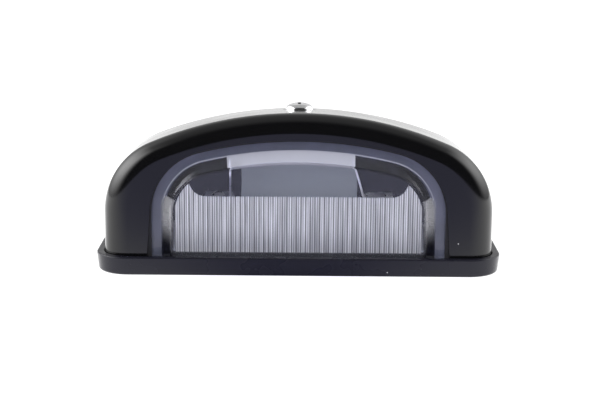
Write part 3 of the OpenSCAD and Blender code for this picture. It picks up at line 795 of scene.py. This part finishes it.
def rib_plastic(pitch, clear):
    """Hazy plastic of the flutes with painted light: a painted highlight on both flanks of each
    rib, fainter on its back, painted shade in the valleys, with streaks along it, and painted shade
    towards the foot."""
    # Painted shade: black and dark shade the valleys, and foot is the painted shade towards the
    # flutes' foot
    black, dark, foot = (0.0, 0.0, 0.0), (0.05, 0.05, 0.055), (0.55, 0.55, 0.58)
    sharpness, on_back, weakest = 1.15, 0.3, 0.42
    material, tree, shader, output, place = new_material("lens ribs")
    # Painted highlights: strongest on both flanks of each rib, with a fainter one on its back
    axes = split(tree, place)
    turn = math_node(tree, "DIVIDE", axes["X"], pitch)
    phase = math_node(tree, "MULTIPLY", turn, math.tau)
    flank_highlight = math_node(tree, "ABSOLUTE", math_node(tree, "SINE", phase))
    flank_highlight = math_node(tree, "POWER", flank_highlight, sharpness)
    lift = ramp(tree, math_node(tree, "COSINE", phase), 0.2, 1.0, 0.0, on_back, "LINEAR")
    share = new_node(tree, "ShaderNodeClamp", {"Value": math_node(tree, "ADD", flank_highlight, lift)})
    # Painted shade in the valleys between the ribs
    dim = mix_colour(tree, ripple(tree, place, 180.0)["Mask"], black, dark)
    # Painted shade: the highlights darken towards the foot, and weak, streaked along the ribs, is a
    # darker copy of them
    lit = mix_colour(tree, fade(tree, place, 3 * MM, 15 * MM), foot, colour("ribs"))
    weak = mix_colour(tree, weakest, lit, black)
    streak = join(tree, X=math_node(tree, "MULTIPLY", turn, 1.7),
                  Z=math_node(tree, "MULTIPLY", axes["Z"], 40.0))
    lit = mix_colour(tree, ripple(tree, streak, 1.0, detail=1.0)["Mask"], weak, lit)
    tone = mix_colour(tree, share.outputs[0], dim, lit)
    set_shader(tree, shader, Base_Color=tone, Roughness=0.05, IOR=PLASTIC_IOR,
               Transmission_Weight=clear)
    pass_light(tree, shader, output, (0.6, 0.6, 0.62))
    return material


def ribbed(face, low, high, half):
    """Whether a face belongs to the upright flutes between low and high."""
    inside = low < face.center.y < high and abs(face.center.x) < half
    return inside and abs(face.normal.z) < 0.01


def keep_flat(piece, low, high, half):
    """Smooth shading everywhere but on the narrow strips of the flutes between low and high."""
    piece.data.shade_smooth()
    piece.data.set_sharp_from_angle(angle=CREASE)
    for face in piece.data.polygons:
        if ribbed(face, low, high, half):
            face.use_smooth = False


# Numbers of the lens's materials on its faces
CLEAR, FROSTED, RIBS, LEGS, CROWN, SLOPE = range(6)


class LAMP_OT_lens(bpy.types.Operator):
    """Build the clear lens with its upright flutes and plain window"""

    bl_idname = "lamp.lens"
    bl_label = "Lens"

    def execute(self, context):
        s = sizes("lamp_lens")
        low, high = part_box("lens")
        spring = sizes("lamp_hood").spring
        wall = s.field
        fillet, foot_fillet, lead, shy = 0.25 * MM, 0.06 * MM, 0.2 * MM, 0.04 * MM
        front, back = low.y, low.y + wall
        flange, flange_back = high.y - s.flange, high.y - shy

        # Half-width and top of each line, from the rim to the field, outside and inside
        rim = (high.x, high.z)
        root = (rim[0] - s.cover - s.show, rim[1] - s.cover - s.show - s.show_top)
        field = (root[0] - s.slope, root[1] - s.slope_top)
        inner_root = (root[0] - wall / 2, root[1] - wall / 2)
        inner_field = (field[0] - wall / 2, field[1] - wall / 2)

        def ring(line, out, y):
            """Arch of a line at y, moved outwards."""
            return [(x, y, z) for x, z in arch(line[0] + out, line[1] + out, s.crown_radius,
                                               low.z, spring, s.steps)]

        def eased(line, y, radius):
            """Rings from a flat face halfway round its eased edge."""
            return [ring(line, radius * math.sin(a / 2), y + radius * (1 - math.cos(a / 2)))
                    for a in quarter(4)]

        outer = eased(field, front, s.edge)
        outer += [ring(root, -fillet, flange - fillet), ring(root, 0.0, flange - foot_fillet),
                  ring(root, lead, flange), ring(rim, 0.0, flange),
                  ring(rim, 0.0, flange_back)]
        inner = eased(inner_field, back, 0.4 * wall)
        inner.append(ring(inner_root, -lead, flange + wall / 2 - lead))
        inner += [ring(inner_root, 0.0, y) for y in (flange + wall / 2, flange + wall * 0.6,
                                                     flange + wall * 0.8, flange_back)]
        lens = shell("lens_body", outer, inner, front_wall=True, back_wall=False)

        half, top = field[0] - s.margin, field[1] - s.margin
        zone = self.zone(s, half, top, spring, back)
        clear = clear_material("lens clear", colour("lens"), PLASTIC_IOR, 0.994)
        run_tree(lens, flute_tree(), {
            "Zone": zone, "Count": math.floor(2 * half / s.pitch), "Pitch": s.pitch,
            "Radius": s.pitch * s.bulge / 2, "Sink": 0.4 * MM, "Back": back,
            "Foot": s.flute_foot, "Height": field[1] - s.flute_foot, "Steps": 18,
            "Material": clear,
        })
        bpy.data.objects.remove(zone)
        ribs = (back + 0.001 * MM, flange - 0.05 * MM, half)
        keep_flat(lens, *ribs)
        sheet_low, sheet_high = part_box("reflector")

        def finish(face):
            """Number of a face's material, from its place and slope."""
            x, y, z = face.center
            if y > flange_back - 0.01 * MM:
                return FROSTED
            if ribbed(face, *ribs):
                return RIBS
            if z < s.haze_top and field[0] < abs(x) < root[0]:
                return LEGS
            over_root = flange - fillet < y < flange - 0.08 * MM and face.normal.y < -0.1
            if over_root and z > s.haze_top:
                return CROWN
            if not (-0.95 < face.normal.y < -0.2 and front < y < flange - 0.3 * MM):
                return CLEAR
            over_sheet = sheet_low.x < x < sheet_high.x - 1 * MM
            return CROWN if face.normal.z > 0.2 and over_sheet else SLOPE

        for face in lens.data.polygons:
            face.material_index = finish(face)
        # The lens's copies stand in for light: lens legs and lens crown are whiter and hazier,
        # painted light, and lens slope has the darker, bluer slope tint, painted shade
        give(lens, "lens", "clear_lens", clear, frosted_flange(), rib_plastic(s.pitch, 0.06),
             hazy_plastic("lens legs", 0.86, PLASTIC_IOR, (7.5 * MM, 17 * MM)),
             hazy_plastic("lens crown", 0.65, PLASTIC_IOR),
             hazy_plastic("lens slope", 0.97, 1.25))
        self.gasket(s, inner_root[0] - 0.1 * MM, low.z, flange_back)
        return {"FINISHED"}

    def gasket(self, s, half, foot, back):
        """Black strip of the seal rubber between the lens's foot and the base plate: painted shade
        behind the foot.
        """
        near, far = back - 1.1 * MM, back - 0.2 * MM
        strip = stack("foot_gasket", [rectangle(-half, near, half, far, z)
                                      for z in (foot, s.shade_strip_top)])
        strip.data.materials.append(plain_finish("seal rubber"))
        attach(strip, BODY)

    def zone(self, s, half, top, spring, back):
        """Closed block that holds the flutes: under the arch, outside the plain window."""
        side, corner = s.window_w / 2, s.window_r
        rim = arch(half, top, s.crown_radius, s.flute_foot, spring, s.steps)
        left = [(x, z) for x, z in rim if x < -side]
        bend = [(-side + corner - corner * math.cos(a), s.window_z + corner - corner * math.sin(a))
                for a in quarter(12)]
        outline = left + [(-side, arch_height(half, top, s.crown_radius, spring, side))] + bend
        outline += [(-x, z) for x, z in outline[::-1]]
        near, far = back - 1 * MM, back + 2 * MM
        return stack("flute_zone", [[(x, y, z) for x, z in outline] for y in (near, far)])


class LAMP_OT_tray(bpy.types.Operator):
    """Build the rubber tray with its lip"""

    bl_idname = "lamp.tray"
    bl_label = "Tray"

    def execute(self, context):
        s = sizes("lamp_tray")
        low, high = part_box("base_tray")
        steps = 16

        def ring(inset, z):
            """Outline of the tray with round corners, set in at height z."""
            line = []
            corners = ((1, -1, s.front_corner, 270), (1, 1, s.back_corner, 0),
                       (-1, 1, s.back_corner, 90), (-1, -1, s.front_corner, 180))
            for sx, sy, radius, start in corners:
                r = max(radius - inset, 0.2 * MM)
                cx = sx * (high.x - inset - r)
                cy = (high.y - inset - r) if sy > 0 else (low.y + inset + r)
                for i in range(steps + 1):
                    a = math.radians(start + 90 * i / steps)
                    line.append((cx + r * math.cos(a), cy + r * math.sin(a), z))
            return line

        drop = math.tan(s.draft) * (high.z - low.z)
        levels = [(drop + s.sole, low.z)]
        levels += [(drop + s.sole * fall, low.z + s.sole * rise) for fall, rise in rounding(6)[1:]]
        levels += [(s.ease * rise, high.z - s.ease * fall) for fall, rise in rounding(6)]
        levels += [(s.lip - s.ease * fall, high.z - s.ease * rise) for fall, rise in rounding(6)]
        levels += [(s.lip, low.z + s.floor)]
        tray = stack("tray_body", [ring(*level) for level in levels])
        below, above = low.z - 1 * MM, low.z + 3 * MM
        for node in ("fixing_sleeves", "cable_grommet"):
            for centre, radius in upright_holes(node):
                cut_piece(tray, rod("hole", centre, radius, below, above))
        smooth_piece(tray, SOFT_CREASE)
        give(tray, "base_tray", "black_rubber", tray_rubber())
        return {"FINISHED"}


def upright_holes(node):
    """Centre and radius of each upright round piece of a solid, at its foot."""
    verts = [v.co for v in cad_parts[node].data.vertices]
    foot = min(v.z for v in verts)
    ring = [v for v in verts if v.z < foot + 0.01 * MM]
    two = min(v.x for v in ring) < -20 * MM
    groups = [[v for v in ring if v.x < 0], [v for v in ring if v.x > 0]] if two else [ring]
    holes = []
    for group in groups:
        (left, right), (near, far) = [(min(line), max(line))
                                      for line in ([v.x for v in group], [v.y for v in group])]
        holes.append((((left + right) / 2, (near + far) / 2), (right - left) / 2))
    return holes


class LAMP_OT_screw(bpy.types.Operator):
    """Build the crown screw with its cross recess"""

    bl_idname = "lamp.screw"
    bl_label = "Crown screw"

    def execute(self, context):
        s = sizes("lamp_screw")
        low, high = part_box("hood_screw")
        centre = middle(low, high)
        r = (high.x - low.x) / 2
        seat = high.z - s.head
        rim, under, tip, dome = 0.35 * MM, 0.15 * MM, 0.3 * MM, 0.8
        profile = [(0, low.z), (s.thread / 2 - tip, low.z), (s.thread / 2, low.z + 0.5 * MM),
                   (s.thread / 2, seat), (r - under, seat), (r, seat + under)]
        profile += [(r * math.cos(a) ** dome, seat + rim + (s.head - rim) * math.sin(a))
                    for a in quarter(20)[:-1]]
        profile += [(0, high.z)]
        screw = lathe("screw_body", centre, profile, 96)
        for turn in (0.0, math.pi / 2):
            cut_piece(screw, self.wing(s, centre, high.z, turn))
        smooth_piece(screw, SOFT_CREASE)
        give(screw, "hood_screw", "screw_chrome", plain_finish("screw chrome"))
        return {"FINISHED"}

    def wing(self, s, centre, top, turn):
        """One wing of the recess: a wedge that narrows to its floor."""
        half_top, half_low = s.recess / 2, s.recess * 0.28
        wide_top, wide_low = 0.5 * MM, 0.32 * MM
        high, low = top + 0.5 * MM, top - s.recess_depth
        place = Matrix.Translation((*centre, 0)) @ Matrix.Rotation(turn, 4, "Z")
        rings = [rectangle(-half_top, -wide_top, half_top, wide_top, high),
                 rectangle(-half_low, -wide_low, half_low, wide_low, low)]
        return stack("wing", [[place @ Vector(point) for point in ring] for ring in rings])


CAD_FINISHES = {
    "base_plate": "base plastic",
    "fixing_sleeves": "plated steel",
    "pillar_insert": "brass",
    "cable_grommet": "seal rubber",
    "contact_left": tongue_metal,
    "contact_right": "contact strip",
    "contact_rivets": "rivet metal",
    "terminal_left": "brass",
    "terminal_right": "brass",
    "terminal_rivets": "rivet metal",
    "reflector": reflector_sheet,
    "reflector_screws": "plated steel",
    "bulb_glass": bulb_glass,
    "bulb_cap_left": "cap metal",
    "bulb_cap_right": "cap metal",
    "bulb_filament": "filament wire",
    "lens_seal": "seal rubber",
    "pillar_washer": "seal rubber",
}


class LAMP_OT_inner_finishes(bpy.types.Operator):
    """Give the inner pieces, which keep their solids, their finishes"""

    bl_idname = "lamp.inner_finishes"
    bl_label = "Inner finishes"

    def execute(self, context):
        for node, finish in CAD_FINISHES.items():
            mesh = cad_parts[node].data
            mesh.materials.clear()
            mesh.materials.append(finish() if callable(finish) else plain_finish(finish))
        return {"FINISHED"}


class LAMP_OT_stage(bpy.types.Operator):
    """Set the camera, the pale floor and the soft lights"""

    bl_idname = "lamp.stage"
    bl_label = "Stage"

    def execute(self, context):
        s = sizes("lamp_stage")
        scene = context.scene
        self.camera(s, scene)
        self.floor(s)
        self.world(s, scene)
        scene.view_settings.view_transform = "Standard"
        scene.cycles.max_bounces = BOUNCES
        scene.cycles.transmission_bounces = BOUNCES
        return {"FINISHED"}

    def camera(self, s, scene):
        """Camera at the photo's place, angle and framing."""
        data = bpy.data.cameras.new("camera")
        data.sensor_fit = "HORIZONTAL"
        data.sensor_width = 36
        data.lens = data.sensor_width * s.focal / PHOTO_WIDTH
        data.clip_start = 0.01
        camera = bpy.data.objects.new("camera", data)
        scene.collection.objects.link(camera)
        tilt = Matrix.Rotation(math.pi / 2 - s.pitch, 4, "X")
        camera.matrix_world = Matrix.Translation(s.camera) @ tilt @ Matrix.Rotation(s.roll, 4, "Z")
        scene.camera = camera

    def floor(self, s):
        """White floor, brighter beside the lamp than in front, with the lamp's soft shadow."""
        floor = new_piece("floor", rectangle(-s.floor, -s.floor, s.floor, s.floor, 0),
                          [(0, 1, 2, 3)])
        material, tree, shader, output, place = new_material("white floor")
        seen = tree.nodes.new("ShaderNodeLightPath").outputs["Is Camera Ray"]
        beside, _ = aim_angles(tree, place)
        tint = mix_colour(tree, ramp(tree, beside, 25, 75), s.floor_front, s.floor_back)
        set_shader(tree, shader, Base_Color=tint, Roughness=1.0, Specular_IOR_Level=0.0)
        mirrored = math_node(tree, "SUBTRACT", 1.0, seen)
        mirrored = math_node(tree, "MULTIPLY", mirrored,
                             ramp(tree, beside, 15, 105, 0.0, s.floor_sides),
                             ramp(tree, beside, 130, 175, 1.0, 0.3))
        white = math_node(tree, "MULTIPLY", seen, 0.9)
        glow = new_node(tree, "ShaderNodeEmission", {
            "Color": (1, 1, 1), "Strength": math_node(tree, "ADD", white, mirrored)})
        both = new_node(tree, "ShaderNodeAddShader", {0: shader.outputs[0], 1: glow.outputs[0]})
        feed(tree, output.inputs["Surface"], both.outputs[0])
        floor.data.materials.append(material)

    def world(self, s, scene):
        """A dim room with a broad soft light at each side; white to the camera."""
        world = bpy.data.worlds.new("studio")
        scene.world = world
        world.use_nodes = True
        tree = world.node_tree
        tree.nodes.clear()
        output = tree.nodes.new("ShaderNodeOutputWorld")
        rays = tree.nodes.new("ShaderNodeLightPath").outputs
        seen = rays["Is Camera Ray"]
        mirrored = math_node(tree, "MAXIMUM", rays["Is Glossy Ray"], rays["Is Transmission Ray"])
        mirrored = math_node(tree, "MULTIPLY", mirrored,
                             math_node(tree, "LESS_THAN", rays["Diffuse Depth"], 0.5))
        aim = tree.nodes.new("ShaderNodeTexCoord").outputs["Generated"]
        axes = split(tree, aim)
        beside, height = aim_angles(tree, aim)
        beside = math_node(tree, "SUBTRACT", beside, ramp(tree, axes["X"], -0.2, 0.2, 0, 10))

        # The lights stand from 43 to 155 degrees round from the front, up to 62 degrees high
        soft = math_node(tree, "MULTIPLY", ramp(tree, beside, 43, 73),
                         ramp(tree, beside, 85, 155, 1, 0), ramp(tree, height, -8, 28),
                         ramp(tree, height, 30, 62, 1, 0),
                         ramp(tree, axes["X"], -0.2, 0.2, s.left_light, s.right_light))

        # The fill comes from the front and reaches no mirrored ray
        fill = math_node(tree, "MULTIPLY", ramp(tree, axes["Y"], -0.75, -0.2, s.fill, 0.0),
                         ramp(tree, axes["Z"], -0.1, 0.05),
                         math_node(tree, "SUBTRACT", 1.0, mirrored))
        total = math_node(tree, "ADD", ramp(tree, axes["Y"], -0.5, 0.05, 0.02, s.ceiling),
                          ramp(tree, axes["Y"], 0.6, 0.92, 0, s.backdrop), soft, fill)
        total = math_node(tree, "MULTIPLY", total, math_node(tree, "SUBTRACT", 1.0, seen))
        glow = new_node(tree, "ShaderNodeBackground",
                        {"Strength": math_node(tree, "ADD", total, seen)})
        feed(tree, output.inputs["Surface"], glow.outputs[0])


def aim_angles(tree, aim):
    """Degrees from the front round to the back, and degrees above the floor, of a vector."""
    turned = new_node(tree, "ShaderNodeVectorMath", {0: aim}, operation="NORMALIZE")
    axes = split(tree, turned.outputs[0])
    across = math_node(tree, "ABSOLUTE", axes["X"])
    front = math_node(tree, "MULTIPLY", axes["Y"], -1.0)
    beside = math_node(tree, "DEGREES", math_node(tree, "ARCTAN2", across, front))
    height = math_node(tree, "DEGREES", math_node(tree, "ARCSINE", axes["Z"]))
    return beside, height


class LAMP_PT_panel(bpy.types.Panel):
    """Lists the steps of the lamp in the sidebar"""

    bl_idname = "LAMP_PT_panel"
    bl_label = "Plate lamp"
    bl_space_type = "VIEW_3D"
    bl_region_type = "UI"
    bl_category = "Plate lamp"

    def draw(self, context):
        for step in STEPS:
            self.layout.operator(step.bl_idname)


STEPS = (LAMP_OT_stage, LAMP_OT_tray, LAMP_OT_hood, LAMP_OT_lens, LAMP_OT_screw,
         LAMP_OT_inner_finishes)
GROUPS = {
    "lamp_hood": HoodSizes,
    "lamp_lens": LensSizes,
    "lamp_tray": TraySizes,
    "lamp_screw": ScrewSizes,
    "lamp_finishes": Finishes,
    "lamp_stage": StageSizes,
}


def register():
    """Registers the classes and puts the sizes on the scene."""
    for cls in (*GROUPS.values(), *STEPS, LAMP_PT_panel):
        bpy.utils.register_class(cls)
    for name, cls in GROUPS.items():
        setattr(bpy.types.Scene, name, PointerProperty(type=cls))


def unregister():
    """Takes the sizes and the classes away again."""
    for name in GROUPS:
        delattr(bpy.types.Scene, name)
    for cls in (LAMP_PT_panel, *STEPS[::-1], *list(GROUPS.values())[::-1]):
        bpy.utils.unregister_class(cls)


def main():
    """Registers the add-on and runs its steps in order."""
    register()
    for step in STEPS:
        family, name = step.bl_idname.split(".")
        getattr(getattr(bpy.ops, family), name)()


if __name__ == "__main__":
    main()
